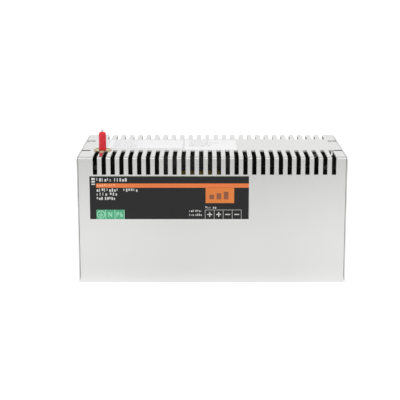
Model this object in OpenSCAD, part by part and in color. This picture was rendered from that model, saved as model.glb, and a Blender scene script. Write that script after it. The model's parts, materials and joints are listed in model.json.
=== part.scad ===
// Long, low mains power supply for a 35 mm DIN rail.
//
// A folded steel cover closes the front, the top and the upper edge of the back of a floor-and-back
// chassis. The converter stands on one board inside. Both terminal strips face down at the front
// edge of the floor, under their markings on the front label.
//
// Frame: +X to the right seen from the front, +Y towards the rail, +Z up.
// Origin: the centre of the bounding box, on the plane of the base.

/* [Case] */
// Width over both end plates
box_w = 230; // [230:1:240]
// Depth from the front face to the rear flange of the cover
box_d = 120; // [120:1:130]
// Height from the base to the top face
box_h = 110; // [110:1:120]
// Thickness of the cover and end plate sheet
sheet_t = 1.2; // [1:0.1:1.4]
// Outer radius of the bends of the cover
bend_r = 2; // [1.8:0.1:3]

/* [Vents] */
// Width of one vent slot
vent_w = 3.8; // [3:0.1:4]
// Distance between front vent slots
vent_pitch = 7.5; // [7.2:0.1:7.5]
// Number of front vent slots
vent_count = 28; // [20:1:28]
// Distance between rear vent slots
rear_pitch = 7.85; // [7.4:0.05:7.9]
// Number of rear vent slots
rear_count = 27; // [20:1:27]
// Length of the front slots along the top face
vent_reach = 34; // [24:1:34]
// Length of the rear slots along the top face
rear_reach = 27; // [20:1:30]
// Length of the slots down the front and the back
vent_drop = 15.2; // [12:0.1:15.2]

/* [Rail] */
// Height of the rail's centre line above the base
rail_z = 55; // [54:1:56]
// Distance of each rail foot from the middle of the case
foot_x = 68; // [60:1:72]
// Distance that a latch is drawn down to let the rail go
latch_travel = 4; // [3.5:0.1:4]

/* [Terminals] */
// Distance between the poles of the mains strip
input_pitch = 8.25; // [8:0.05:8.3]
// Distance between the poles of the output strip
output_pitch = 7.62; // [7.5:0.01:7.8]

/* [Hidden] */
$fn = 32;

INPUTS = 3;
OUTPUTS = 4;
function names(stem, count) = [for (i = [1:count]) str(stem, i)];

// Fits
plate_gap = 0.4;      // between the cover and an end plate
slide_gap = 0.2;      // around a latch in its foot
running = 0.05;       // radial, round shaft in round hole
touch = 0.1;          // between faces of pieces that move past each other

// Labels lie on the sheet
label_t = 0.15;

// Rail foot, measured back from the chassis
foot_t = 7;           // thickness of the foot's body, up to the rail's face
pad_t = 0.3;          // the rail's seat stands this proud of the rest
hook_gap = 1.4;       // room for the rail's 1 mm flange
hook_t = 1.8;
rail_w = 35;
foot_w = 44;

// Depth: the front labels stand out in front, the hooks of the feet behind
front_y = -(box_d + foot_t + hook_gap + hook_t - sheet_t - 2 * label_t) / 2;
back_y = front_y + box_d;
plate_y = back_y - sheet_t;          // rear face of the chassis

cover_w = box_w - 2 * (sheet_t + plate_gap);
rear_flange_h = 24;
front_vent_x = 2;                    // the front row sits a little to the right
slit_l = 7.6;
slit_w = 4.4;
slit_skin = 0.3;                     // sheet left over the pocket behind each slit
slit_y = [-27, 22];                  // places of the slits, from the middle of the top
vent_round = 0.4;

// Chassis
chassis_t = 1.5;
chassis_w = 226;
lip_d = 4;                           // from the front face to the lip
lip_h = 24;
chassis_top = box_h - vent_drop - 0.3;
end_lift = 1.6;                      // end plates stop short of the base
flange = 10;

// Terminal strips, hanging in the floor windows
strip_y = front_y + lip_d + chassis_t;
strip_l = 18;
strip_low = 1;
seat_z = 10;                         // plane that the contacts lie against
strip_top = 22;
wall = 1.6;
contact_t = 1;
tag_h = 12.5;
input_x = -86.6;
output_x = 9.7;
pole_y = strip_y + 6;
stem_r = 1.7;
head_r = 2.6;
head_h = 2.2;
clamp_t = 1;

// Voltage trimmer
trim = [-13.3, front_y + 13.5];
trim_board_z = 8.4;

// Main board
board_z = 10;
board_t = 1.6;
board_top = board_z + board_t;
board_size = [212, 85];
liner_t = 0.6;
board_y = front_y + 27;
spacer_at = [for (x = [-99, 37, 99], y = [board_y + 5, board_y + 80]) [x, y]];

// Transformer, a tall pair of E cores with the winding upright round the middle leg
core = [66, 24, 90];
core_at = [-12, front_y + 47, board_top + 2.4];
leg = 13;
yoke = 8;
mid_leg = 22;
coil = [39, 45];

// Red cap on its post, at the inner ends of the first two front slots
post = [front_vent_x - (vent_count - 2) * vent_pitch / 2, front_y + vent_reach + 1];
flange_r = 7.9;
flange_t = 0.4;
rim_w = 1;
rim_h = 0.8;
hub_r = 2.2;
hub_h = 6;
cap_r = 3.25;
cap_h = 15.8;
cap_round = 2.3;
pin_r = 1;
pin_out = 1.4;                       // straight length that shows above the cap

// ---------------------------------------------------------------- helpers

// Extrudes an outline drawn in Y and Z along X, about the middle
module across(width) {
    rotate([90, 0, 90])
        linear_extrude(height = width, center = true)
            children();
}

// Rectangle whose two upper corners are round
module arch(d, h, r) {
    square([d, h - r]);
    translate([r, 0])
        square([d - 2 * r, h]);
    for (x = [r, d - r])
        translate([x, h - r])
            circle(r);
}

// Rectangle with four round corners, from the origin
module rounded(w, l, r) {
    translate([r, 0])
        square([w - 2 * r, l]);
    translate([0, r])
        square([w, l - 2 * r]);
    for (x = [r, w - r], y = [r, l - r])
        translate([x, y])
            circle(r);
}

// Box standing on the plane z, centred on x and y
module block(x, y, z, size) {
    translate([x - size.x / 2, y - size.y / 2, z])
        cube(size);
}

// Pan head screw pointing up from the origin, its head below
module pan_screw(r, length) {
    cylinder(r = r, h = length);
    translate([0, 0, -1.3 * r])
        difference() {
            cylinder(r = 1.85 * r, h = 1.3 * r);
            for (a = [0, 90])
                rotate(a)
                    translate([-1.2 * r, -0.25 * r, -1])
                        cube([2.4 * r, 0.5 * r, 1 + 0.6 * r]);
        }
}

// ------------------------------------------------------------------- case

// One slot that runs over a bend of the cover: down the face at y, along the top by reach,
// which is below zero towards the front
module vent_cut(face_y, reach) {
    from_y = reach > 0 ? face_y - 1 : face_y + reach;
    translate([-vent_w / 2, from_y, box_h - 2 * bend_r])
        linear_extrude(height = 3 * bend_r)
            rounded(vent_w, abs(reach) + 1, vent_round);
    translate([-vent_w / 2, face_y + 2 * bend_r, box_h - vent_drop])
        rotate([90, 0, 0])
            linear_extrude(height = 4 * bend_r)
                rounded(vent_w, vent_drop + 1, vent_round);
}

module cover_outline() {
    difference() {
        arch(box_d, box_h, bend_r);
        translate([sheet_t, -1])
            arch(box_d - 2 * sheet_t, box_h - sheet_t + 1, bend_r - sheet_t);
        translate([box_d - 2 * sheet_t, -1])
            square([3 * sheet_t, box_h - rear_flange_h + 1]);
    }
    square([lip_d - plate_gap, sheet_t]);
}

cover_screw_x = [-98, -34, 34, 98];
cover_screw_z = box_h - rear_flange_h + 4.4;
plate_screw_z = [24, 79];

module cover() {
    color("gainsboro")
        difference() {
            translate([0, front_y, 0])
                across(cover_w)
                    cover_outline();
            for (i = [0:vent_count - 1])
                translate([front_vent_x + (i - (vent_count - 1) / 2) * vent_pitch, 0, 0])
                    vent_cut(front_y, vent_reach);
            for (i = [0:rear_count - 1])
                translate([(i - (rear_count - 1) / 2) * rear_pitch, 0, 0])
                    vent_cut(back_y, -rear_reach);
            for (side = [-1, 1], y = slit_y) {
                block(side * cover_w / 2, front_y + box_d / 2 + y, box_h - 5,
                      [2 * slit_l, slit_w, 10]);
                block(side * cover_w / 2, front_y + box_d / 2 + y + slit_w, box_h - 2 * sheet_t,
                      [2 * slit_l, slit_w + 1, 2 * sheet_t - slit_skin]);
            }
            for (x = cover_screw_x)
                translate([x, back_y + 1, cover_screw_z])
                    rotate([90, 0, 0])
                        cylinder(r = 1.7, h = 4);
        }
}

module end_plate(side) {
    inner_x = box_w / 2 - sheet_t;
    color("silver")
        difference() {
            union() {
                translate([side * (box_w - sheet_t) / 2, front_y + 0.2, end_lift])
                    across(sheet_t)
                        arch(box_d - 0.4, box_h - end_lift - 0.2, bend_r);
                block(side * (inner_x - flange / 2), front_y + (box_d + slit_y[0] + slit_y[1]) / 2,
                      box_h - 2 * sheet_t, [flange + 1, slit_y[1] - slit_y[0] - 3 * slit_w - 4, sheet_t]);
                block(side * (inner_x - flange / 2), front_y + box_d / 2,
                      chassis_t, [flange + 1, box_d - 20, sheet_t]);
                block(side * (inner_x - flange / 2), plate_y - chassis_t - sheet_t / 2,
                      10, [flange + 1, sheet_t, chassis_top - 14]);
            }
            for (z = plate_screw_z)
                translate([side * (inner_x - flange / 2), plate_y, z])
                    rotate([90, 0, 0])
                        cylinder(r = 1.7, h = 6);
        }
}

foot_bolt_x = 15;
foot_bolt_z = [20, 65];

module chassis() {
    color("lightgray")
        difference() {
            union() {
                block(0, (front_y + lip_d + plate_y) / 2, 0,
                      [chassis_w, plate_y - front_y - lip_d, chassis_t]);
                block(0, front_y + lip_d + chassis_t / 2, 0, [chassis_w, chassis_t, lip_h]);
                block(0, plate_y - chassis_t / 2, 0, [chassis_w, chassis_t, chassis_top]);
            }
            // Windows for the two terminal strips
            for (s = [[input_x, INPUTS * input_pitch], [output_x, OUTPUTS * output_pitch]])
                block(s[0], strip_y + strip_l / 2 + 0.2, -1, [s[1] + wall + 0.8, strip_l + 0.4, 4]);
            // Screwdriver hole under the trimmer
            translate([trim.x, trim.y, -1])
                cylinder(r = 3, h = 4);
            // Floor vents
            for (i = [0:23])
                translate([(i - 11.5) * 8 - vent_w / 2, front_y + 42, -1])
                    linear_extrude(height = 4)
                        rounded(vent_w, 56, vent_round);
            // Screws of the strips, in the lip
            for (s = strip_screws())
                translate([s.x, front_y, s.z])
                    rotate([-90, 0, 0])
                        cylinder(r = 1.6, h = 8);
            // Cover and end plate screws, in the back
            for (s = back_screws())
                translate([s.x, plate_y + 1, s.z])
                    rotate([90, 0, 0])
                        cylinder(r = 1.6, h = 4);
            // Bolts of the rail feet
            for (side = [-1, 1], x = [-foot_bolt_x, foot_bolt_x], z = foot_bolt_z)
                translate([side * foot_x + x, plate_y + 1, z])
                    rotate([90, 0, 0])
                        cylinder(r = 2.2, h = 4);
        }
}

// Screw positions in the back: along the cover's flange, then down both end plates
function back_screws() = concat(
    [for (x = cover_screw_x) [x, back_y, cover_screw_z]],
    [for (side = [-1, 1], z = plate_screw_z) [side * (box_w / 2 - sheet_t - flange / 2), plate_y, z]]);

module cover_screws() {
    color("dimgray")
        for (s = back_screws())
            translate(s)
                rotate([90, 0, 0])
                    pan_screw(1.5, 6);
}

// ----------------------------------------------------------------- labels

label_x = [-104.1, 31.3];
label_z = [box_h - 53.7, box_h - 16.4];
tag_x = [-5.5, 18.8];
tag_z = [box_h - 39.6, box_h - 26.4];

module front_label() {
    color("#303030")
        translate([label_x[0], front_y - label_t, label_z[0]])
            cube([label_x[1] - label_x[0], label_t, label_z[1] - label_z[0]]);
}

module tag_label() {
    color("#eb8235")
        translate([tag_x[0], front_y - 2 * label_t, tag_z[0]])
            cube([tag_x[1] - tag_x[0], label_t, tag_z[1] - tag_z[0]]);
}

module top_sticker(x0, x1, d0, d1) {
    color("white")
        translate([x0, front_y + d0, box_h])
            cube([x1 - x0, d1 - d0, label_t]);
}

// --------------------------------------------------------- post and cap

// Dished brass flange with a hub in the middle and two legs through the slots
module post_base() {
    color("#b09a6a")
        translate([post.x, post.y, box_h]) {
            cylinder(r = flange_r, h = flange_t);
            difference() {
                cylinder(r = flange_r, h = rim_h);
                translate([0, 0, -1])
                    cylinder(r = flange_r - rim_w, h = 3);
            }
            cylinder(r = hub_r, h = hub_h);
            for (side = [-1, 1])
                block(side * vent_pitch / 2, -2, -sheet_t, [vent_w - 0.6, 1.6, sheet_t + 0.2]);
        }
}

// Height that the closed cap stands at
cap_z = box_h + flange_t + touch;

// Hollow sleeve with a rounded top, sliding on the hub
module post_cap() {
    color("#d8323a")
        translate([post.x, post.y, cap_z])
            difference() {
                rotate_extrude()
                    difference() {
                        union() {
                            square([cap_r, cap_h - cap_round]);
                            square([cap_r - cap_round, cap_h]);
                            translate([cap_r - cap_round, cap_h - cap_round])
                                intersection() {
                                    circle(cap_round);
                                    square(cap_round);
                                }
                        }
                        translate([0, -1])
                            square([hub_r + running, hub_h - flange_t + 1]);
                    }
                translate([0, 0, cap_h - 5])
                    cylinder(r = pin_r, h = 10);
            }
}

module cap_pin() {
    color("silver")
        translate([post.x, post.y, cap_z + cap_h - 5]) {
            cylinder(r = pin_r, h = 5 + pin_out);
            translate([0, 0, 5 + pin_out])
                sphere(pin_r);
        }
}

// --------------------------------------------------------------- rail feet

latch_w = 16;
latch_t = 3;
latch_in = 2.2;                       // from the chassis to the latch's near face
latch_low = 6;
rail_low = rail_z - rail_w / 2;
rail_high = rail_z + rail_w / 2;
hook_bite = 2.5;
foot_low = 12;
foot_high = rail_high + 5.5;
spring_low = 17;
spring_high = 30;
spring_wire = 0.22;

module rail_foot(side) {
    inner_w = latch_w + 2 * slide_gap + 0.2;
    color("#3a3d40")
        translate([side * foot_x, plate_y, 0]) {
            difference() {
                union() {
                    block(0, (foot_t - pad_t) / 2, foot_low,
                          [foot_w, foot_t - pad_t, foot_high - foot_low]);
                    // Seat of the rail, between the nose below and the hook above
                    block(0, foot_t / 2, rail_low + hook_bite + 0.3,
                          [foot_w, foot_t, rail_w - 2 * hook_bite - 0.6]);
                    // Fixed hook over the upper edge of the rail
                    across(foot_w)
                        polygon([[foot_t - 1, rail_high + 0.3],
                                 [foot_t + hook_gap, rail_high + 0.3],
                                 [foot_t + hook_gap, rail_high - hook_bite],
                                 [foot_t + hook_gap + 1, rail_high - hook_bite],
                                 [foot_t + hook_gap + hook_t, rail_high - hook_bite + 1],
                                 [foot_t + hook_gap + hook_t, foot_high],
                                 [foot_t - 1, foot_high]]);
                }
                // Tunnel for the latch, open below
                block(0, latch_in + latch_t / 2, foot_low - 1,
                      [inner_w, latch_t + 2 * slide_gap, rail_low - foot_low + 0.8]);
                // Window for the nose, and a narrow one over the spring
                block(0, foot_t, rail_low - 7 - latch_travel,
                      [inner_w, 2 * (foot_t - latch_in - latch_t), latch_travel + 6.8]);
                block(0, foot_t, 16, [7.2, 2 * (foot_t - latch_in - latch_t), 14]);
                for (x = [-foot_bolt_x, foot_bolt_x], z = foot_bolt_z)
                    translate([x, -1, z])
                        rotate([-90, 0, 0]) {
                            cylinder(r = 2.2, h = foot_t + 2);
                            translate([0, 0, 1 + foot_t - 4])
                                cylinder(r = 4.3, h = 6);
                        }
            }
            // Peg that the spring stands on
            block(0, latch_in + latch_t / 2, spring_low - 2.6, [5.6, latch_t + 2 * slide_gap, 2.6]);
        }
}

module rail_latch(side) {
    far = latch_in + latch_t;
    hook = foot_t + hook_gap;
    color("#9a9da1")
        translate([side * foot_x, plate_y, 0])
            difference() {
                across(latch_w)
                    polygon([[latch_in, latch_low], [far, latch_low], [far, rail_low - 6.5],
                             [hook + hook_t, rail_low - 6.5], [hook + hook_t, rail_low + 0.8],
                             [hook + 0.8, rail_low + hook_bite], [hook, rail_low + hook_bite],
                             [hook, rail_low - 0.3], [latch_in, rail_low - 0.3]]);
                // Window for the spring and the peg
                block(0, latch_in + latch_t / 2, spring_low - 3,
                      [6.4, 3 * latch_t, spring_high - spring_low + 3]);
                // Eye for a screwdriver
                block(0, latch_in + latch_t / 2, latch_low + 1.8, [7, 3 * latch_t, 2.4]);
            }
}

// Tube along a list of points, with rings of a given number of sides
function ring(p, t, up, r, sides) =
    let (a = cross(t, up), u = a / norm(a), v = cross(t, u) / norm(t))
    [for (k = [0:sides - 1]) p + r * (cos(360 * k / sides) * u + sin(360 * k / sides) * v)];

module tube(points, r, up, sides = 8) {
    last = len(points) - 1;
    rings = [for (i = [0:last])
        ring(points[i], points[min(i + 1, last)] - points[max(i - 1, 0)], up, r, sides)
    ];
    unit_rings = [for (i = [0:last], k = [0:sides - 1]) rings[i][k]];
    walls = [for (i = [0:last - 1], k = [0:sides - 1], half = [0, 1])
        let (a = i * sides + k, b = i * sides + (k + 1) % sides)
        half == 0 ? [a, b, b + sides] : [a, b + sides, a + sides]];
    ends = [for (k = [1:sides - 2], far = [0, 1])
        far == 0 ? [0, k + 1, k] : [last * sides, last * sides + k, last * sides + k + 1]];
    polyhedron(points = unit_rings, faces = concat(walls, ends), convexity = 6);
}

function helix(r, low, high, turns, steps) =
    [for (i = [0:turns * steps])
        [r * cos(360 * i / steps), r * sin(360 * i / steps), low + (high - low) * i / (turns * steps)]];

module latch_spring(side) {
    color("gray")
        translate([side * foot_x, plate_y + latch_in + latch_t / 2, 0])
            tube(helix(1.2, spring_low + spring_wire + 0.05, spring_high - spring_wire - 0.05, 8, 10),
                 spring_wire, [0, 0, 1], 6);
}

module foot_screws() {
    color("silver")
        for (side = [-1, 1], x = [-foot_bolt_x, foot_bolt_x], z = foot_bolt_z)
            translate([side * foot_x + x, plate_y + foot_t - 4, z])
                rotate([90, 0, 0])
                    pan_screw(2, 8);
}

// --------------------------------------------------------- terminal strips

function pole_x(centre, pitch, count, i) = centre + (i - (count + 1) / 2) * pitch;

strip_screw_z = 19.8;

// Screws that hold both strips to the lip
function strip_screws() =
    [for (s = [[input_x, input_pitch], [output_x, output_pitch]], side = [-1, 1])
        [s[0] + side * s[1], 0, strip_screw_z]];

module strip(centre, pitch, count) {
    full = count * pitch + wall;
    color("#24272b")
        difference() {
            union() {
                block(centre, strip_y + strip_l / 2, seat_z, [full, strip_l, strip_top - seat_z]);
                for (i = [0:count])
                    block(centre + (i - count / 2) * pitch, strip_y + strip_l / 2, strip_low,
                          [wall, strip_l, seat_z - strip_low]);
                block(centre, strip_y + wall / 2, strip_low, [full, wall, seat_z - strip_low]);
            }
            // Groove for the tips of the terminal screws
            block(centre, pole_y, seat_z - 0.5, [full - 2 * wall, 2 * stem_r + 1.2, 8]);
            for (side = [-1, 1])
                translate([centre + side * pitch, strip_y - 1, strip_screw_z])
                    rotate([-90, 0, 0])
                        cylinder(r = 1.6, h = 4);
        }
}

// Brass bar under each screw, turned up behind the strip as a solder tag
module contacts(centre, pitch, count) {
    bar_w = pitch - wall - 0.4;
    color("#c8a850")
        for (i = [1:count])
            translate([pole_x(centre, pitch, count, i), 0, 0])
                difference() {
                    union() {
                        block(0, strip_y + wall + 8.8, seat_z - contact_t, [bar_w, 17.2, contact_t]);
                        block(0, strip_y + strip_l + 0.4, seat_z - contact_t, [bar_w - 1, 0.8, tag_h]);
                    }
                    translate([0, pole_y, 0])
                        cylinder(r = stem_r + running, h = 30);
                }
}

// Loose square plate that presses the wire on the contact
module clamp(centre, pitch, count, i) {
    top = seat_z - contact_t - touch;
    color("silver")
        translate([pole_x(centre, pitch, count, i), pole_y, top - clamp_t])
            difference() {
                block(0, 0, 0, [pitch - wall - 0.8, 6, clamp_t]);
                translate([0, 0, -1])
                    cylinder(r = stem_r + running, h = 4);
            }
}

module terminal_screw(centre, pitch, count, i) {
    shoulder = seat_z - contact_t - clamp_t - 2 * touch;
    color("#c9cbce")
        translate([pole_x(centre, pitch, count, i), pole_y, shoulder]) {
            cylinder(r = stem_r, h = 8);
            translate([0, 0, -head_h])
                difference() {
                    cylinder(r = head_r, h = head_h);
                    block(0, 0, -1, [6, 0.8, 2.1]);
                    block(0, 0, -1, [0.8, 3, 2.1]);
                }
        }
}

module block_screws() {
    color("silver")
        for (s = strip_screws())
            translate([s.x, front_y + lip_d, s.z])
                rotate([-90, 0, 0])
                    pan_screw(1.4, 4.4);
}

// ----------------------------------------------------------------- trimmer

trim_low = 3;
trim_r = 3.2;
trim_pin_r = 1.2;

module trimmer_board() {
    color("#7a6a32")
        block(trim.x, front_y + 18.5, trim_board_z, [12, 24, board_z - trim_board_z]);
}

module trimmer_body() {
    color("#2f6fb0")
        difference() {
            block(trim.x, trim.y, trim_low, [9.6, 9.6, trim_board_z - trim_low]);
            translate([trim.x, trim.y, trim_low - 1])
                cylinder(r = trim_r + 0.3, h = 3);
            translate([trim.x, trim.y, trim_low])
                cylinder(r = trim_pin_r + running, h = 4.6);
        }
}

module trimmer_rotor() {
    color("#f0ede2")
        translate([trim.x, trim.y, 0])
            difference() {
                union() {
                    translate([0, 0, trim_low - 0.6])
                        cylinder(r = trim_r, h = 2.3);
                    translate([0, 0, trim_low])
                        cylinder(r = trim_pin_r, h = 4.2);
                }
                block(0, 0, trim_low - 1.6, [5, 0.9, 2.1]);
                block(0, 0, trim_low - 1.6, [0.9, 3, 2.1]);
            }
}

// -------------------------------------------------------------- main board

module main_board() {
    color("#8a7a3a")
        difference() {
            translate([-board_size.x / 2, board_y, board_z])
                cube([board_size.x, board_size.y, board_t]);
            for (p = spacer_at)
                translate([p.x, p.y, board_z - 1])
                    cylinder(r = 1.7, h = 4);
        }
}

module board_spacers() {
    color("silver")
        for (p = spacer_at)
            translate([p.x, p.y, chassis_t])
                difference() {
                    cylinder(r = 3, h = board_z - chassis_t);
                    translate([0, 0, 2])
                        cylinder(r = 1.6, h = 10);
                }
}

// Black insulating sheet on the inside of the back, behind the heatsinks
module liner() {
    color("#1a1a1b")
        difference() {
            block(0, plate_y - chassis_t - sheet_t - liner_t / 2 - touch, board_top + 3,
                  [box_w - 2 * sheet_t - 3, liner_t, chassis_top - board_top - 4]);
            for (s = back_screws())
                translate([s.x, plate_y, s.z])
                    rotate([90, 0, 0])
                        cylinder(r = 2.2, h = 6);
            for (side = [-1, 1], x = [-foot_bolt_x, foot_bolt_x], z = foot_bolt_z)
                translate([side * foot_x + x, plate_y, z])
                    rotate([90, 0, 0])
                        cylinder(r = 2.8, h = 6);
        }
}

// Screws down into the spacers, and through the devices into the heatsinks
module inner_screws() {
    color("gray") {
        for (p = spacer_at)
            translate([p.x, p.y, board_top])
                mirror([0, 0, 1])
                    pan_screw(1.5, 6);
        for (s = sinks, x = device_x(s))
            translate([x, sink_y - sink_base / 2 - 5, device_z + 15])
                rotate([-90, 0, 0])
                    pan_screw(1.5, 8);
    }
}

// ------------------------------------------------------------- transformer

core_mid = core_at.z + core.z / 2;
bobbin_low = core_at.z + yoke + 0.3;
bobbin_high = core_at.z + core.z - yoke - 0.3;

module transformer_core() {
    window = (core.x - 2 * leg - mid_leg) / 2;
    color("#2b2b2e")
        difference() {
            block(core_at.x, core_at.y, core_at.z, core);
            for (side = [-1, 1])
                block(core_at.x + side * (mid_leg + window) / 2, core_at.y, core_at.z + yoke,
                      [window, core.y + 2, core.z - 2 * yoke]);
            // Line where the two E cores meet
            difference() {
                block(core_at.x, core_at.y, core_mid, [core.x + 2, core.y + 2, 0.3]);
                block(core_at.x, core_at.y, core_mid - 1, [core.x - 0.6, core.y - 0.6, 3]);
            }
        }
}

module coil_ring(outer, hole, low, high) {
    translate([core_at.x, core_at.y, low])
        linear_extrude(height = high - low)
            difference() {
                translate([-outer.x / 2, -outer.y / 2])
                    rounded(outer.x, outer.y, 5);
                square([hole.x, hole.y], center = true);
            }
}

leg_hole = [mid_leg + 0.4, core.y + 0.4];
tube_wall = 1.2;

module transformer_bobbin() {
    tube_outer = [leg_hole.x + 2 * tube_wall, leg_hole.y + 2 * tube_wall];
    color("#1f1f22")
        union() {
            coil_ring([coil.x + 1, coil.y + 4], leg_hole, bobbin_low, bobbin_low + 1.5);
            coil_ring([coil.x + 1, coil.y + 4], leg_hole, bobbin_high - 1.5, bobbin_high);
            translate([core_at.x, core_at.y, bobbin_low])
                linear_extrude(height = bobbin_high - bobbin_low)
                    difference() {
                        square(tube_outer, center = true);
                        square(leg_hole, center = true);
                    }
            for (i = [-3:3], side = [-1, 1])
                translate([core_at.x + i * 5, core_at.y + side * (core.y / 2 + 3), board_top])
                    cylinder(r = 0.6, h = bobbin_low - board_top + 1);
        }
}

module transformer_winding() {
    hole = [leg_hole.x + 2 * tube_wall + 0.2, leg_hole.y + 2 * tube_wall + 0.2];
    color("#a4552a")
        coil_ring([coil.x - 0.8, coil.y - 0.8], hole, bobbin_low + 1.6, bobbin_high - 1.6);
}

module transformer_tape() {
    color("#d8a52c")
        translate([core_at.x, core_at.y, bobbin_low + 1.7])
            linear_extrude(height = bobbin_high - bobbin_low - 3.4)
                difference() {
                    translate([-coil.x / 2, -coil.y / 2])
                        rounded(coil.x, coil.y, 5.4);
                    translate([-coil.x / 2 + 0.4, -coil.y / 2 + 0.4])
                        rounded(coil.x - 0.8, coil.y - 0.8, 5);
                }
}

// ------------------------------------------------- chokes and capacitors

// Ring chokes lying on the board: position, ring radius, section radius, wire radius, turns
chokes = [[[51, front_y + 55], 17, 7.4, 1, 22],
          [[-88, front_y + 92], 11, 4.6, 0.6, 24]];

module choke_cores() {
    color("#d8c23a")
        for (c = chokes)
            translate([c[0].x, c[0].y, board_top + c[2] + 2 * c[3] + 0.4])
                rotate_extrude()
                    translate([c[1], 0])
                        circle(c[2]);
}

module choke_windings() {
    color("#b0602c")
        for (c = chokes, i = [0:c[4] - 1])
            translate([c[0].x, c[0].y, board_top + c[2] + 2 * c[3] + 0.4])
                rotate([0, 0, 360 * i / c[4]])
                    translate([c[1], 0, 0])
                        rotate([90, 0, 0])
                            rotate_extrude()
                                translate([c[2] + c[3] + 0.1, 0])
                                    circle(c[3]);
}

// Upright capacitors: position, radius, height
bulk = [for (d = [48, 78]) [[-60, front_y + d], 13, 50]];
filters = [for (d = [38, 58, 77]) [[88, front_y + d], 9, 44]];

module can(c) {
    translate([c[0].x, c[0].y, board_top])
        rotate_extrude()
            difference() {
                square([c[1], c[2]]);
                translate([c[1] + 0.6, 3.5])
                    circle(1.2);
                translate([0, c[2] - 0.5])
                    square([c[1] - 1.5, 2]);
            }
}

module bulk_capacitors() {
    color("#20242c")
        for (c = bulk)
            can(c);
}

module output_capacitors() {
    color("#2c5f9e")
        for (c = filters)
            can(c);
}

module capacitor_lids() {
    color("silver")
        for (c = concat(bulk, filters))
            translate([c[0].x, c[0].y, board_top + c[2] - 0.5])
                difference() {
                    cylinder(r = c[1] - 1.6, h = 0.5);
                    for (a = [0, 90])
                        rotate(a)
                            block(0, 0, 0.3, [1.2 * c[1], 0.6, 1]);
                }
}

module suppression_capacitors() {
    color("#e0b93a")
        for (c = [[42, [26, 13, 22]], [66, [26, 10, 18]]])
            block(-88, front_y + c[0], board_top, c[1]);
}

// ---------------------------------------------------- heatsinks and devices

// Comb heatsinks along the back edge of the board: middle, width
sinks = [[-6, 72], [69, 50]];
sink_y = front_y + 96;
sink_h = 72;
sink_base = 4;
fin_l = 12;

module heatsinks() {
    color("#c4c7ca")
        for (s = sinks) {
            count = floor(s[1] / 8);
            difference() {
                union() {
                    block(s[0], sink_y, board_top, [s[1], sink_base, sink_h]);
                    for (i = [0:count])
                        block(s[0] + (i / count - 0.5) * (s[1] - 2), sink_y + sink_base / 2 + fin_l / 2 - 0.5,
                              board_top, [2, fin_l + 1, sink_h]);
                }
                for (x = device_x(s))
                    translate([x, sink_y + 1, device_z + 15])
                        rotate([90, 0, 0])
                            cylinder(r = 1.6, h = 6);
            }
        }
}

device_z = board_top + 30;
function device_x(s) = [for (side = [-1, 1]) s[0] + side * s[1] / 4];

module power_devices() {
    color("#1c1d20")
        for (s = sinks, x = device_x(s)) {
            difference() {
                block(x, sink_y - sink_base / 2 - 2.5, device_z, [16, 5, 20]);
                translate([x, sink_y + 1, device_z + 15])
                    rotate([90, 0, 0])
                        cylinder(r = 1.8, h = 20);
            }
            for (i = [-1:1])
                block(x + i * 5.4, sink_y - sink_base / 2 - 2.5, board_top, [1.2, 0.8, device_z - board_top]);
        }
}

// --------------------------------------------------------------------- fuse

fuse_at = [-60, front_y + 31, board_top + 6];
fuse_l = 20;

module fuse_tube() {
    color("#dfeef2", 0.5)
        translate(fuse_at)
            rotate([0, 90, 0])
                difference() {
                    cylinder(r = 2.4, h = fuse_l - 1.4, center = true);
                    cylinder(r = 1.8, h = fuse_l, center = true);
                }
}

module fuse_fittings() {
    color("silver")
        for (side = [-1, 1])
            translate([fuse_at.x + side * (fuse_l / 2 - 2.6), fuse_at.y, fuse_at.z]) {
                rotate([0, 90, 0])
                    difference() {
                        cylinder(r = 2.9, h = 5.2, center = true);
                        translate([0, 0, -side * 0.6])
                            cylinder(r = 2.45, h = 5.2, center = true);
                    }
                for (y = [-1, 1])
                    block(0, y * 3.2, board_top - fuse_at.z, [4, 0.7, 8]);
                block(0, 0, board_top - fuse_at.z, [4, 7.1, 0.7]);
            }
}

// ------------------------------------------------------------------- wiring

function bezier(a, b, c, d, steps) =
    [for (i = [0:steps])
        let (t = i / steps, u = 1 - t)
        u * u * u * a + 3 * u * u * t * b + 3 * u * t * t * c + t * t * t * d];

// Short wires from the solder tags back and down to the front edge of the board
module wiring() {
    tag_y = strip_y + strip_l + 0.8;
    for (s = [[input_x, input_pitch, INPUTS, 1.1, "#6b4a35"], [output_x, output_pitch, OUTPUTS, 1.5, "#8e2a2a"]])
        color(s[4])
            for (i = [1:s[2]]) {
                x = pole_x(s[0], s[1], s[2], i);
                tag = [x, tag_y, seat_z + tag_h - 4];
                pad = [x, board_y + 2.4, board_top];
                from = tag + [0, 0.5, 0];
                to = pad + [0, 0, 0.5];
                tube(concat([tag], bezier(from, from + [0, 3, 0], to + [0, 0, 4.5], to, 8), [pad]),
                     s[3], [1, 0, 0]);
            }
}

// --------------------------------------------------------------------- draw

cover();
end_plate(-1);  // end_plate_left
end_plate(1);  // end_plate_right
chassis();
cover_screws();
front_label();
tag_label();
top_sticker(-92, -26, 44, 86);  // top_sticker_left
top_sticker(-24, 22, 36, 86);  // top_sticker_right
post_base();
post_cap();
cap_pin();
rail_foot(-1);  // rail_foot_left
rail_foot(1);  // rail_foot_right
rail_latch(-1);  // rail_latch_left
rail_latch(1);  // rail_latch_right
latch_spring(-1);  // latch_spring_left
latch_spring(1);  // latch_spring_right
foot_screws();
strip(input_x, input_pitch, INPUTS);  // input_block
strip(output_x, output_pitch, OUTPUTS);  // output_block
contacts(input_x, input_pitch, INPUTS);  // input_contacts
contacts(output_x, output_pitch, OUTPUTS);  // output_contacts
block_screws();
trimmer_board();
trimmer_body();
trimmer_rotor();
main_board();
board_spacers();
inner_screws();
liner();
transformer_core();
transformer_bobbin();
transformer_winding();
transformer_tape();
choke_cores();
choke_windings();
bulk_capacitors();
output_capacitors();
capacitor_lids();
suppression_capacitors();
heatsinks();
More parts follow.
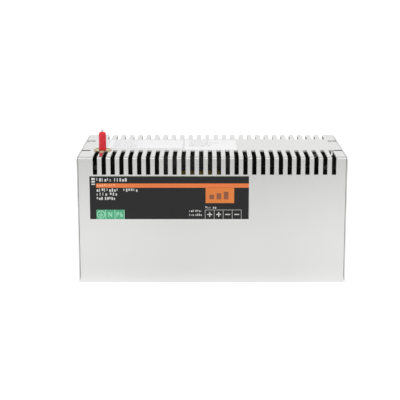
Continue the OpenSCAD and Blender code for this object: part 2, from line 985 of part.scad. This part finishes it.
power_devices();
fuse_tube();
fuse_fittings();
wiring();
for (i = [1:INPUTS]) {
    clamp(input_x, input_pitch, INPUTS, i);
    terminal_screw(input_x, input_pitch, INPUTS, i);
}
for (i = [1:OUTPUTS]) {
    clamp(output_x, output_pitch, OUTPUTS, i);
    terminal_screw(output_x, output_pitch, OUTPUTS, i);
}
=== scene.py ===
"""Looks of a long, low power supply for a DIN rail: materials, springs, label print, light and camera.

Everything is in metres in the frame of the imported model: +X right, +Y to the rail, +Z up.
"""

import json
import math
import random

import bmesh
import bpy
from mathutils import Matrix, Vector


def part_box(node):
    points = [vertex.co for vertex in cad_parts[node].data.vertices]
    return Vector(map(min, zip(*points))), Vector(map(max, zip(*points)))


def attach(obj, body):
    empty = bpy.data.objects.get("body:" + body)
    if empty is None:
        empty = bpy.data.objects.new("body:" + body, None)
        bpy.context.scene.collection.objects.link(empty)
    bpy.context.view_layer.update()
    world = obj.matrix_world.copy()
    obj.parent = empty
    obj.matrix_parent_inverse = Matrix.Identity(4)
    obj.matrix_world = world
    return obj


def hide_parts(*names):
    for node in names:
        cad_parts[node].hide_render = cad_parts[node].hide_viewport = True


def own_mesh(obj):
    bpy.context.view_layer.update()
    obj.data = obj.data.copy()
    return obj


MM = 0.001
PRINT_RELIEF = 0.004 * MM  # print and film are nearly smooth

# Sockets of the colour Mix node, which share their names with its other data types
MIX_FIRST, MIX_SECOND, MIX_RESULT = 6, 7, 2

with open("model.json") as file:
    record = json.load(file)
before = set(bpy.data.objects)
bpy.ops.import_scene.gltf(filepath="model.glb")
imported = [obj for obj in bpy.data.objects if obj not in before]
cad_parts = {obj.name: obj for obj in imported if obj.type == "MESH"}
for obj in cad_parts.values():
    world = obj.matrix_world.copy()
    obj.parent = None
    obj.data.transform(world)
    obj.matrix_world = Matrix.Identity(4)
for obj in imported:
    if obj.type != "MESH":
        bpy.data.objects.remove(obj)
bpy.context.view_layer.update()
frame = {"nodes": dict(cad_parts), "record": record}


# ---------------------------------------------------------------- node helpers


class Nodes:
    """A material's node tree with short calls for the few nodes used here."""

    def __init__(self, name):
        self.material = bpy.data.materials.new(name)
        self.material.use_nodes = True
        self.tree = self.material.node_tree
        self.shader = self.tree.nodes["Principled BSDF"]
        self.place = self.tree.nodes.new("ShaderNodeTexCoord").outputs["Object"]

    def add(self, kind, **values):
        node = self.tree.nodes.new(kind)
        for key, value in values.items():
            setattr(node, key, value)
        return node

    def link(self, source, target):
        self.tree.links.new(source, target)

    def stretched(self, scale):
        """The object's coordinates, scaled by axis: small numbers draw a grain out along that axis."""
        mapping = self.add("ShaderNodeMapping")
        mapping.inputs["Scale"].default_value = scale
        self.link(self.place, mapping.inputs["Vector"])
        return mapping.outputs["Vector"]

    def split(self, source=None):
        """X, Y and Z of the object's coordinates, or of another vector."""
        node = self.add("ShaderNodeSeparateXYZ")
        self.link(source or self.place, node.inputs["Vector"])
        return node.outputs

    def noise(self, scale, detail=3.0, vector=None):
        node = self.add("ShaderNodeTexNoise")
        node.inputs["Scale"].default_value = scale
        node.inputs["Detail"].default_value = detail
        self.link(vector or self.place, node.inputs["Vector"])
        return node.outputs["Fac"]

    def spread(self, source, low, high, from_low=0.3, from_high=0.7):
        """source remapped to low..high."""
        node = self.add("ShaderNodeMapRange")
        node.inputs["From Min"].default_value = from_low
        node.inputs["From Max"].default_value = from_high
        node.inputs["To Min"].default_value = low
        node.inputs["To Max"].default_value = high
        self.link(source, node.inputs["Value"])
        return node.outputs["Result"]

    def blend(self, fac, first, second):
        """Colour between first and second; each is a colour or a socket."""
        node = self.add("ShaderNodeMix", data_type="RGBA")
        self.link(fac, node.inputs["Factor"])
        for socket, value in ((node.inputs[MIX_FIRST], first), (node.inputs[MIX_SECOND], second)):
            if isinstance(value, bpy.types.NodeSocket):
                self.link(value, socket)
            else:
                socket.default_value = (*value, 1.0)
        return node.outputs[MIX_RESULT]

    def math(self, operation, first, second=0.0):
        node = self.add("ShaderNodeMath", operation=operation)
        for socket, value in zip(node.inputs, (first, second)):
            if isinstance(value, bpy.types.NodeSocket):
                self.link(value, socket)
            else:
                socket.default_value = value
        return node.outputs[0]

    def bump(self, height, distance, strength=1.0):
        node = self.add("ShaderNodeBump")
        node.inputs["Strength"].default_value = strength
        node.inputs["Distance"].default_value = distance
        self.link(height, node.inputs["Height"])
        self.link(node.outputs["Normal"], self.shader.inputs["Normal"])

    def set(self, **values):
        for name, value in values.items():
            socket = self.shader.inputs[name.replace("_", " ")]
            if isinstance(value, bpy.types.NodeSocket):
                self.link(value, socket)
            else:
                socket.default_value = value


def tinted(color, factor):
    return tuple(min(1.0, c * factor) for c in color)


def coated(name, color, rough, grain=900.0, relief=0.012 * MM, patch=22.0, shift=0.03, **extra):
    """Paint, plastic or paper: a fine skin over a colour that drifts a little from place to place."""
    n = Nodes(name)
    drift = n.noise(patch, 4.0)
    n.set(Base_Color=n.blend(n.spread(drift, 0, 1), tinted(color, 1 - shift), tinted(color, 1 + shift)))
    skin = n.noise(grain, 2.0)
    n.set(Roughness=n.spread(skin, rough - 0.05, rough + 0.05), **extra)
    n.bump(skin, relief)
    return n.material


def ferrite_painted_light(name, color, painted_light_grey):
    """Sintered ferrite: matt and dark, with painted light: pale grey on whatever faces up."""
    n = Nodes(name)
    normal = n.split(n.add("ShaderNodeNewGeometry").outputs["Normal"])
    painted_light_upward = n.spread(normal["Z"], 0, 1, 0.5, 0.9)
    # film is painted light: pale grey on faces that point up, where light through the vents falls, broken
    # up by noise
    film = n.math("MULTIPLY", painted_light_upward, n.spread(n.noise(90.0, 4.0), 0.7, 1.0))
    n.set(Base_Color=n.blend(film, color, painted_light_grey))
    grain = n.noise(1400.0, 2.0)
    n.set(Roughness=n.spread(grain, 0.45, 0.6))
    n.bump(grain, 0.03 * MM)
    return n.material


def metal(name, color, rough, along=(1.0, 40.0, 40.0), grain=60.0, relief=0.004 * MM, shift=0.08, **extra):
    """Bare metal with a grain drawn out along one axis."""
    n = Nodes(name)
    lines = n.noise(grain, 4.0, n.stretched(along))
    n.set(Base_Color=n.blend(n.spread(lines, 0, 1), tinted(color, 1 - shift), tinted(color, 1 + shift)))
    smudge = n.noise(45.0, 3.0)
    n.set(Roughness=n.spread(smudge, rough - 0.06, rough + 0.08), Metallic=1.0, **extra)
    n.bump(lines, relief)
    return n.material


# ------------------------------------------------------------------- materials


def case_paint(name, color, primed):
    """Bright satin metal with faint clouding and shallow orange peel. The cover is grey primer inside."""
    n = Nodes(name)
    cloud = n.noise(14.0, 2.0)
    n.set(Base_Color=n.blend(n.spread(cloud, 0, 1), tinted(color, 0.985), tinted(color, 1.015)))
    n.bump(n.noise(620.0, 2.0), 0.002 * MM)
    if not primed:
        n.set(Roughness=n.spread(cloud, 0.14, 0.18), Metallic=0.9)
        return n.material
    low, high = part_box("cover")
    at = n.split()
    skin, half_width = 0.5 * MM, 113.0 * MM
    depth = n.math("MINIMUM", n.math("SUBTRACT", at["Y"], low.y + skin),
                   n.math("SUBTRACT", high.y - skin, at["Y"]))
    depth = n.math("MINIMUM", depth, n.math("SUBTRACT", high.z - skin, at["Z"]))
    depth = n.math("MINIMUM", depth, n.math("SUBTRACT", half_width, n.math("ABSOLUTE", at["X"])))
    inside = n.math("GREATER_THAN", depth, 0.0)
    n.set(Roughness=n.math("ADD", n.spread(cloud, 0.14, 0.18), n.math("MULTIPLY", inside, 0.4)))
    n.set(Metallic=n.math("SUBTRACT", 0.9, n.math("MULTIPLY", inside, 0.9)))
    return n.material


def zinc(name, color, rough):
    """Zinc plated steel: soft spangle under a drawn grain."""
    n = Nodes(name)
    cells = n.add("ShaderNodeTexVoronoi")
    cells.inputs["Scale"].default_value = 160.0
    n.link(n.place, cells.inputs["Vector"])
    tone = n.spread(cells.outputs["Distance"], 0, 1, 0.0, 0.8)
    n.set(Base_Color=n.blend(tone, tinted(color, 0.92), tinted(color, 1.06)))
    grain = n.noise(70.0, 4.0, n.stretched((1.0, 30.0, 30.0)))
    n.set(Roughness=n.spread(grain, rough - 0.05, rough + 0.1), Metallic=1.0)
    n.bump(grain, 0.003 * MM)
    return n.material


def laminate(name):
    """Circuit board: lacquered brown laminate, with tinned tracks in two directions."""
    n = Nodes(name)
    weave = n.noise(900.0, 2.0)
    resin = n.blend(n.spread(weave, 0, 1), (0.20, 0.14, 0.035), (0.27, 0.19, 0.05))
    tracks = n.add("ShaderNodeTexBrick")
    tracks.inputs["Scale"].default_value = 60.0
    tracks.inputs["Mortar Size"].default_value = 0.09
    n.link(n.place, tracks.inputs["Vector"])
    copper = n.spread(tracks.outputs["Fac"], 0, 0.7, 0.4, 0.6)
    n.set(Base_Color=n.blend(copper, resin, (0.42, 0.36, 0.20)))
    n.set(Roughness=n.spread(weave, 0.30, 0.42), Coat_Weight=0.3, Coat_Roughness=0.2)
    n.bump(tracks.outputs["Fac"], 0.03 * MM, 0.5)
    return n.material


def enamel_wire(name):
    """Enamelled copper laid turn on turn: fine horizontal ridges, each painted lighter on its crest and
    darker in its groove as painted light and shade.
    """
    n = Nodes(name)
    turns = n.add("ShaderNodeTexWave", bands_direction="Z", wave_profile="SIN")
    turns.inputs["Scale"].default_value = 180.0
    turns.inputs["Distortion"].default_value = 0.6
    turns.inputs["Detail Scale"].default_value = 0.4
    n.link(n.place, turns.inputs["Vector"])
    # Painted light and shade: the colour follows the ridges, light on the crests and dark in the grooves
    # between turns
    n.set(Base_Color=n.blend(turns.outputs["Fac"], (0.28, 0.08, 0.025), (0.62, 0.24, 0.08)))
    n.set(Roughness=n.spread(n.noise(300.0), 0.25, 0.4), Metallic=0.8, Coat_Weight=0.5)
    n.bump(turns.outputs["Fac"], 0.2 * MM)
    return n.material


def tape(name):
    """Polyester tape wound in overlapping layers, glossy and a little translucent."""
    n = Nodes(name)
    edge = n.add("ShaderNodeTexWave", bands_direction="Z", wave_profile="SAW")
    edge.inputs["Scale"].default_value = 11.0
    edge.inputs["Distortion"].default_value = 0.3
    n.link(n.place, edge.inputs["Vector"])
    n.set(Base_Color=n.blend(edge.outputs["Fac"], (0.24, 0.20, 0.045), (0.36, 0.31, 0.07)))
    n.set(Roughness=n.spread(n.noise(200.0), 0.18, 0.32), Coat_Weight=0.4)
    n.bump(edge.outputs["Fac"], 0.05 * MM)
    return n.material


def wire_sleeve(name):
    """PVC sleeves: green-yellow, blue and brown by pole on the mains side, red and black on the output."""
    n = Nodes(name)
    x = n.split()["X"]
    color = (0.10, 0.35, 0.06)
    # Each later colour starts to the right of its edge, in millimetres
    for edge, later in ((-90.5, (0.02, 0.07, 0.35)), (-82.4, (0.13, 0.05, 0.02)),
                        (-40.0, (0.45, 0.02, 0.02)), (9.7, (0.015, 0.015, 0.016))):
        color = n.blend(n.math("GREATER_THAN", x, edge * MM), color, later)
    n.set(Base_Color=color, Roughness=n.spread(n.noise(400.0), 0.38, 0.52))
    n.bump(n.noise(900.0), 0.01 * MM)
    return n.material


def glass(name):
    """Thin clear tube with a trace of film on it."""
    n = Nodes(name)
    film = n.noise(60.0)
    n.set(Base_Color=n.blend(n.spread(film, 0, 1), (0.90, 0.96, 0.97), (0.97, 0.99, 1.0)))
    n.set(Roughness=n.spread(film, 0.03, 0.10), Transmission_Weight=0.9, IOR=1.48)
    return n.material


MATERIALS = {
    "cover_sheet": case_paint("cover_paint", (0.66, 0.66, 0.65), True),
    "end_sheet": case_paint("end_paint", (0.65, 0.65, 0.64), False),
    "chassis_sheet": zinc("chassis_zinc", (0.62, 0.63, 0.65), 0.38),
    "fasteners": zinc("screw_zinc", (0.58, 0.58, 0.58), 0.32),
    "front_label": coated("label_black", (0.012, 0.012, 0.012), 0.42, relief=PRINT_RELIEF, shift=0.05,
                          Specular_IOR_Level=0.25),
    "tag_label": coated("tag_orange", (0.66, 0.180, 0.026), 0.55, patch=60.0, shift=0.03),
    "sticker": coated("sticker_paper", (0.93, 0.93, 0.94), 0.50, grain=1500.0, shift=0.015),
    "brass": metal("post_brass", (0.60, 0.50, 0.31), 0.22, along=(30.0, 1.0, 30.0), shift=0.15),
    "red_plastic": coated("cap_red", (0.69, 0.020, 0.032), 0.24, shift=0.05, Specular_IOR_Level=0.35),
    "steel": metal("bright_steel", (0.62, 0.62, 0.61), 0.30),
    "foot_plastic": coated("foot_black", (0.028, 0.029, 0.031), 0.55, relief=0.03 * MM, shift=0.12),
    "latch_steel": zinc("latch_zinc", (0.52, 0.53, 0.54), 0.34),
    "spring_steel": metal("spring_wire", (0.42, 0.42, 0.43), 0.28),
    "strip_plastic": coated("strip_black", (0.020, 0.022, 0.025), 0.45, relief=0.02 * MM, shift=0.1),
    "contact_brass": metal("contact_brass", (0.70, 0.56, 0.28), 0.30, along=(30.0, 1.0, 30.0)),
    "board": laminate("board_laminate"),
    "trimmer_case": coated("trimmer_blue", (0.02, 0.11, 0.40), 0.35),
    "trimmer_white": coated("trimmer_white", (0.80, 0.79, 0.73), 0.45),
    # The ferrite's up-facing faces carry painted light in pale grey
    "core_ferrite": ferrite_painted_light("ferrite", (0.030, 0.030, 0.032), (0.12, 0.12, 0.12)),
    "bobbin_plastic": coated("bobbin_black", (0.018, 0.018, 0.018), 0.5, shift=0.1),
    "copper": enamel_wire("enamelled_copper"),
    "yellow_tape": tape("polyester_tape"),
    "choke_paint": coated("choke_yellow", (0.70, 0.56, 0.07), 0.5, relief=0.04 * MM, shift=0.12),
    "sleeve_black": coated("sleeve_black", (0.020, 0.024, 0.032), 0.3, shift=0.1, Coat_Weight=0.3),
    "sleeve_blue": coated("sleeve_blue", (0.03, 0.11, 0.34), 0.3, shift=0.1, Coat_Weight=0.3),
    "can_aluminium": metal("can_aluminium", (0.76, 0.77, 0.79), 0.35),
    "film_box": coated("film_yellow", (0.72, 0.48, 0.08), 0.45, shift=0.06),
    "sink_aluminium": metal("sink_black", (0.045, 0.045, 0.050), 0.42, along=(40.0, 40.0, 1.0), shift=0.2),
    # The liner is a real part, but its near-black colour is painted shade that darkens the inside seen
    # through the vents
    "liner_film": coated("liner_painted_shade", (0.012, 0.012, 0.013), 0.55, patch=35.0, shift=0.2),
    "epoxy": coated("epoxy_black", (0.020, 0.020, 0.022), 0.5, relief=0.03 * MM, shift=0.15),
    "fuse_glass": glass("fuse_glass"),
    "wire_pvc": wire_sleeve("wire_pvc"),
}


def dress_nodes():
    """Gives every CAD node the material of its slot."""
    slots = {s["node"]: s["material_slot"] for s in frame["record"]["subparts"]}
    for name, piece in frame["nodes"].items():
        piece.data.materials.clear()
        piece.data.materials.append(MATERIALS[slots[name]])


dress_nodes()


def made(name, mesh, material):
    """A new object in the scene from a finished bmesh."""
    bmesh.ops.recalc_face_normals(mesh, faces=mesh.faces)
    data = bpy.data.meshes.new(name)
    mesh.to_mesh(data)
    mesh.free()
    data.materials.append(material)
    piece = bpy.data.objects.new(name, data)
    bpy.context.scene.collection.objects.link(piece)
    return piece


# --------------------------------------------------------------- latch springs

SPRING_WIRE = 0.22 * MM  # radius of the wire
SPRING_TURNS = 8
CLOSED_TURNS = 1.0  # at each end
CLOSED_PITCH = 2.1 * SPRING_WIRE
STEPS_PER_TURN = 28
WIRE_SIDES = 10


def latch_spring(side):
    """Compression spring with closed ends, between the foot and the head of its CAD part."""
    low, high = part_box(f"latch_spring_{side}")
    middle = (low + high) / 2
    radius = (high.x - low.x) / 2 - SPRING_WIRE
    foot, head = low.z + SPRING_WIRE, high.z - SPRING_WIRE
    open_turns = SPRING_TURNS - 2 * CLOSED_TURNS
    open_pitch = (head - foot - 2 * CLOSED_TURNS * CLOSED_PITCH) / open_turns
    mesh = bmesh.new()
    loops = []
    for i in range(SPRING_TURNS * STEPS_PER_TURN + 1):
        turn = i / STEPS_PER_TURN
        angle = 2 * math.pi * turn
        opened = min(max(turn - CLOSED_TURNS, 0.0), open_turns)
        z = foot + CLOSED_PITCH * (turn - opened) + open_pitch * opened
        out = Vector((math.cos(angle), math.sin(angle), 0))
        at = Vector((middle.x, middle.y, z)) + radius * out
        loops.append([mesh.verts.new(at + SPRING_WIRE * (math.cos(a) * out + Vector((0, 0, math.sin(a)))))
                      for a in (2 * math.pi * k / WIRE_SIDES for k in range(WIRE_SIDES))])
    for a, b in zip(loops, loops[1:]):
        for k in range(WIRE_SIDES):
            following = (k + 1) % WIRE_SIDES
            mesh.faces.new((a[k], a[following], b[following], b[k])).smooth = True
    mesh.faces.new(loops[0])
    mesh.faces.new(list(reversed(loops[-1])))
    piece = made(f"spring_coil_{side}", mesh, MATERIALS["spring_steel"])
    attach(piece, "case")
    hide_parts(f"latch_spring_{side}")
    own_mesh(piece)


latch_spring("left")
latch_spring("right")


# ----------------------------------------------------------------- label print

FILM = 0.03 * MM
rng = random.Random(7)

# Blocks that stand in for print, as shares of the row's height
BLOCK_WIDTHS = (0.22, 0.42, 0.52)
BLOCK_HEIGHTS = (0.72, 0.72, 1.0)
BLOCK_LIFTS = (0.0, 0.0, 0.28)
WORD_GAP, WIDE_GAP = 0.5, 0.8

LABEL_MARGIN = 5.6 * MM
STRIPE_TOP, STRIPE_FOOT = 6.2 * MM, 9.85 * MM  # below the label's top edge
CELL_HEIGHT = 8.2 * MM
MAINS_PITCH = 7.9 * MM
OUTPUT_PITCH = 7.7 * MM
OUTPUT_START = 98.2 * MM  # from the label's left edge
OUTPUT_POLES, PLUS_POLES = 4, 2


def prisms(name, outlines, face, material, body="case", flat="y"):
    """One piece of many thin printed shapes. Outlines are loops in the plane of the face."""
    mesh = bmesh.new()
    for loop in outlines:
        if flat == "y":
            lower = [mesh.verts.new((x, face, z)) for x, z in loop]
            upper = [mesh.verts.new((x, face - FILM, z)) for x, z in loop]
        else:
            lower = [mesh.verts.new((x, y, face)) for x, y in loop]
            upper = [mesh.verts.new((x, y, face + FILM)) for x, y in loop]
        mesh.faces.new(lower)
        mesh.faces.new(list(reversed(upper)))
        count = len(loop)
        for i in range(count):
            j = (i + 1) % count
            mesh.faces.new((lower[j], lower[i], upper[i], upper[j]))
    piece = made(name, mesh, material)
    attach(piece, body)
    return piece


def rect(x0, x1, z0, z1):
    """Corners of an upright rectangle."""
    return [(x0, z0), (x1, z0), (x1, z1), (x0, z1)]


def stroke(a, b, width):
    """A straight bar of the given width between two points."""
    a, b = Vector(a), Vector(b)
    side = (b - a).normalized().orthogonal() * width / 2
    return [tuple(a - side), tuple(b - side), tuple(b + side), tuple(a + side)]


def ring(cx, cz, radius, width, steps=28):
    """A circle drawn as short bars."""
    at = [(cx + radius * math.cos(2 * math.pi * i / steps), cz + radius * math.sin(2 * math.pi * i / steps))
          for i in range(steps + 1)]
    return [stroke(p, q, width) for p, q in zip(at, at[1:])]


def greeked(words, x, z, h, pitch=0.8):
    """Stand-in for a line of print, in plain blocks: words are lengths in blocks, 0 is a wide gap."""
    shapes = []
    for length in words:
        for _ in range(length):
            wide, tall = rng.choice(BLOCK_WIDTHS) * h, rng.choice(BLOCK_HEIGHTS) * h
            lift = rng.choice(BLOCK_LIFTS) * h if tall < h else 0.0
            shapes.append(rect(x, x + wide, z + lift, z + lift + tall))
            x += pitch * h
        x += (WORD_GAP if length else WIDE_GAP) * h
    return shapes


def dividers(start, pitch, count, line, foot):
    """Upright lines, centred on the first edge and each pitch after it."""
    return [rect(start + i * pitch - line / 2, start + i * pitch + line / 2, foot, foot + CELL_HEIGHT)
            for i in range(count)]


def earth(cx, cz):
    """Protective earth: a ring round a stem and three bars, each shorter than the last."""
    shapes = ring(cx, cz, 3.2 * MM, 0.6 * MM)
    shapes += [rect(cx - 0.3 * MM, cx + 0.3 * MM, cz - 0.2 * MM, cz + 2.2 * MM)]
    for k, half in enumerate((2.0, 1.3, 0.6)):
        z = cz - (0.5 + 0.95 * k) * MM
        shapes.append(rect(cx - half * MM, cx + half * MM, z, z + 0.5 * MM))
    return shapes


def neutral(cx, cz, h, t):
    """The mark N: two posts and a slanting bar of thickness t."""
    w = 0.75 * h
    return [rect(cx - w / 2, cx - w / 2 + t, cz - h / 2, cz + h / 2),
            rect(cx + w / 2 - t, cx + w / 2, cz - h / 2, cz + h / 2),
            stroke((cx - w / 2 + t, cz + h / 2 - t / 2), (cx + w / 2 - t, cz - h / 2 + t / 2), t)]


def phase(cx, cz, h, t):
    """The mark Ph, in bars of thickness t."""
    x, w = cx - 0.62 * h, 0.55 * h
    capital = [rect(x, x + t, cz - h / 2, cz + h / 2), rect(x + t, x + w, cz + h / 2 - t, cz + h / 2),
               rect(x + t, x + w, cz - t / 2, cz + t / 2), rect(x + w - t, x + w, cz, cz + h / 2)]
    x += w + 0.25 * h
    w = 0.42 * h
    return capital + [rect(x, x + t, cz - h / 2, cz + h / 2), rect(x + t, x + w, cz - t / 2, cz + t / 2),
                      rect(x + w - t, x + w, cz - h / 2, cz)]


def label_text(low, high, orange, peach, white):
    """The stripe, an emblem of three bars, and rows of blocks for the title and the rating."""
    margin = low.x + LABEL_MARGIN
    stripe_foot = high.z - STRIPE_FOOT
    stripe = rect(margin, high.x, stripe_foot, high.z - STRIPE_TOP)
    prisms("label_stripe", [stripe], low.y, orange)
    prisms("label_stripe_print", greeked([8], margin + 0.8 * MM, stripe_foot + 1.2 * MM, 1.9 * MM, 1.05),
           low.y - FILM, peach)

    x, wide = low.x + 1.6 * MM, 3.0 * MM
    emblem = [rect(x, x + wide, high.z - foot * MM, high.z - top * MM)
              for foot, top in ((3.2, 1.4), (5.4, 3.9), (7.4, 6.3))]
    prisms("label_emblem", emblem, low.y, white)

    rows = []
    for words, z, tall, pitch in (([6, 5], high.z - 4.5 * MM, 2.9, 0.78),
                                  ([9, 0, 6], stripe_foot - 3.5 * MM, 2.8, 0.76),
                                  ([4, 3], stripe_foot - 6.9 * MM, 2.6, 0.95),
                                  ([3, 5], stripe_foot - 10.6 * MM, 2.5, 0.75)):
        rows += greeked(words, margin + 0.4 * MM, z, tall * MM, pitch)
    prisms("label_rating", rows, low.y, white)


def mains_cells(low, green, mint):
    """A green field with three cells: earth, neutral and phase."""
    start = low.x + LABEL_MARGIN - 0.2 * MM
    field = rect(start, start + 3 * MAINS_PITCH, low.z, low.z + CELL_HEIGHT)
    prisms("label_mains_cells", [field], low.y, green)
    cz = low.z + CELL_HEIGHT / 2
    tall, bar = 4.2 * MM, 0.65 * MM
    shapes = dividers(start + MAINS_PITCH, MAINS_PITCH, 3, 0.45 * MM, low.z)
    shapes += earth(start + 0.5 * MAINS_PITCH, cz)
    shapes += neutral(start + 1.5 * MAINS_PITCH, cz, tall, bar)
    shapes += phase(start + 2.5 * MAINS_PITCH, cz, tall, bar)
    prisms("label_mains_marks", shapes, low.y - FILM, mint)


def output_cells(low, white):
    """Two plus cells and two minus cells in white outline, with rows of blocks for their captions."""
    start = low.x + OUTPUT_START
    cz, cells_top = low.z + CELL_HEIGHT / 2, low.z + CELL_HEIGHT
    line, arm, half = 0.3 * MM, 2.1 * MM, 0.42 * MM
    shapes = dividers(start, OUTPUT_PITCH, OUTPUT_POLES + 1, line, low.z)
    shapes.append(rect(start, start + OUTPUT_POLES * OUTPUT_PITCH, cells_top - line, cells_top))
    for i in range(OUTPUT_POLES):
        cx = start + (i + 0.5) * OUTPUT_PITCH
        shapes.append(rect(cx - arm, cx + arm, cz - half, cz + half))
        if i < PLUS_POLES:
            shapes.append(rect(cx - half, cx + half, cz + half, cz + arm))
            shapes.append(rect(cx - half, cx + half, cz - arm, cz - half))
    shapes += greeked([3, 2], start + 0.3 * MM, cells_top + 1.0 * MM, 2.1 * MM, 0.85)
    for rise in (2.2 * MM, -1.2 * MM):
        shapes += greeked([3, 4], start - 13.6 * MM, cz + rise, 1.8 * MM, 0.82)
    prisms("label_output_marks", shapes, low.y, white)


def label_print():
    """Everything printed on the black label."""
    low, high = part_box("front_label")
    orange = coated("print_orange", (0.715, 0.165, 0.033), 0.42, relief=PRINT_RELIEF, shift=0.03)
    peach = coated("print_peach", (0.90, 0.50, 0.30), 0.45, relief=PRINT_RELIEF)
    white = coated("print_white", (0.58, 0.58, 0.57), 0.5, relief=PRINT_RELIEF)
    green = coated("print_green", (0.060, 0.350, 0.182), 0.42, relief=PRINT_RELIEF)
    mint = coated("print_mint", (0.36, 0.74, 0.50), 0.45, relief=PRINT_RELIEF)
    label_text(low, high, orange, peach, white)
    mains_cells(low, green, mint)
    output_cells(low, white)


def tag_print():
    """Three rising bars on the orange tag."""
    low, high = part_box("tag_label")
    brown = coated("print_brown", (0.24, 0.075, 0.03), 0.6, relief=PRINT_RELIEF)
    tallest, wide = 6.6 * MM, 4.0 * MM
    foot = (low.z + high.z - tallest) / 2
    shapes = [rect(low.x + x * MM, low.x + x * MM + wide, foot, foot + share * tallest)
              for x, share in ((3.2, 0.6), (9.3, 0.8), (15.4, 1.0))]
    prisms("tag_print", shapes, low.y, brown)


def sticker_print():
    """Rows of small blocks on the two paper stickers."""
    grey = coated("print_grey", (0.12, 0.12, 0.13), 0.6, relief=PRINT_RELIEF)
    words_in_row, inset, tall = 3, 4 * MM, 1.6 * MM
    for side, rows in (("left", 7), ("right", 6)):
        low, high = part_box(f"top_sticker_{side}")
        shapes = []
        for i in range(rows):
            y = high.y - (5.0 + 5.6 * i) * MM
            shapes += greeked([rng.randint(3, 7) for _ in range(words_in_row)], low.x + inset, y, tall)
        prisms(f"sticker_print_{side}", shapes, high.z, grey, flat="z")


label_print()
tag_print()
sticker_print()


# ------------------------------------------------------------- floor and light


def floor():
    """Pale floor, which glows as painted light though it is no lamp: paler in colour and brighter in glow
    just in front of the object, with extra glow behind it, to its sides and far off. The front face mirrors
    its first 0.6 m, so that stretch fades away from the object.
    """
    n = Nodes("floor_white")
    at = n.split()
    near = n.spread(at["Y"], 0.0, 1.0, -0.90, -0.20)
    # Painted light: the floor's colour is paler close in front of the object
    n.set(Base_Color=n.blend(near, (0.66, 0.66, 0.66), (0.87, 0.87, 0.87)))
    n.set(Roughness=0.7, Specular_IOR_Level=0.1)
    behind = n.spread(at["Y"], 0.0, 0.45, -0.10, 0.10)
    middle = 10.0 * MM
    side = n.spread(n.math("ABSOLUTE", n.math("SUBTRACT", at["X"], middle)), 0.0, 0.08, 0.06, 0.12)
    away = n.add("ShaderNodeVectorMath", operation="LENGTH")
    n.link(n.place, away.inputs[0])
    far = n.spread(away.outputs["Value"], 0.0, 0.45, 0.8, 1.5)
    # Painted light: the floor glows brighter near the front, behind, to the sides and far off
    glow = n.math("ADD", n.spread(near, 0.04, 0.26, 0.0, 1.0), n.math("MAXIMUM", behind, far))
    n.set(Emission_Color=(1, 1, 1, 1), Emission_Strength=n.math("ADD", glow, side))
    mesh = bpy.data.meshes.new("floor")
    half = 6.0
    corners = [(-half, -half, 0), (half, -half, 0), (half, half, 0), (-half, half, 0)]
    mesh.from_pydata(corners, [], [(0, 1, 2, 3)])
    mesh.materials.append(n.material)
    piece = bpy.data.objects.new("floor", mesh)
    bpy.context.scene.collection.objects.link(piece)


def area_light(name, place, aim, size, power):
    """A rectangular lamp that the camera doesn't see."""
    data = bpy.data.lights.new(name, "AREA")
    data.shape = "RECTANGLE"
    data.size, data.size_y = size
    data.energy = power
    lamp = bpy.data.objects.new(name, data)
    lamp.location = place
    lamp.rotation_euler = (Vector(aim) - Vector(place)).to_track_quat("-Z", "Y").to_euler()
    lamp.visible_camera = False
    bpy.context.scene.collection.objects.link(lamp)


def sky():
    """Bright round the horizon, dim overhead."""
    world = bpy.data.worlds.new("studio")
    bpy.context.scene.world = world
    world.use_nodes = True
    tree = world.node_tree
    split = tree.nodes.new("ShaderNodeSeparateXYZ")
    tree.links.new(tree.nodes.new("ShaderNodeTexCoord").outputs["Generated"], split.inputs["Vector"])
    fade = tree.nodes.new("ShaderNodeMapRange")
    fade.interpolation_type = "SMOOTHSTEP"
    for socket, value in zip(("From Min", "From Max", "To Min", "To Max"), (0.25, 0.75, 1.0, 0.25)):
        fade.inputs[socket].default_value = value
    tree.links.new(split.outputs["Z"], fade.inputs["Value"])
    tree.links.new(fade.outputs["Result"], tree.nodes["Background"].inputs["Strength"])
    tree.nodes["Background"].inputs["Color"].default_value = (1, 1, 1, 1)


def studio():
    """Floor that glows as painted light, sky and one large lamp overhead, shown without a film look."""
    floor()
    sky()
    area_light("overhead", (0.0, -0.4, 1.1), (0, 0, 0), (1.6, 0.7), 9.5)
    bpy.context.scene.view_settings.view_transform = "Standard"


def camera():
    """A long lens, a little left of the middle and looking down on the front."""
    low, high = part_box("cover")
    aside, distance, rise = -4.98 * MM, 995.0 * MM, 181.6 * MM
    look_down = 12.39  # degrees
    data = bpy.data.cameras.new("camera")
    data.sensor_width = 36.0
    data.lens = 107.66
    data.shift_x = -0.0156
    view = bpy.data.objects.new("camera", data)
    view.location = (aside, low.y - distance, high.z + rise)
    view.rotation_euler = (math.radians(90 - look_down), 0, 0)
    bpy.context.scene.collection.objects.link(view)
    bpy.context.scene.camera = view


studio()
camera()
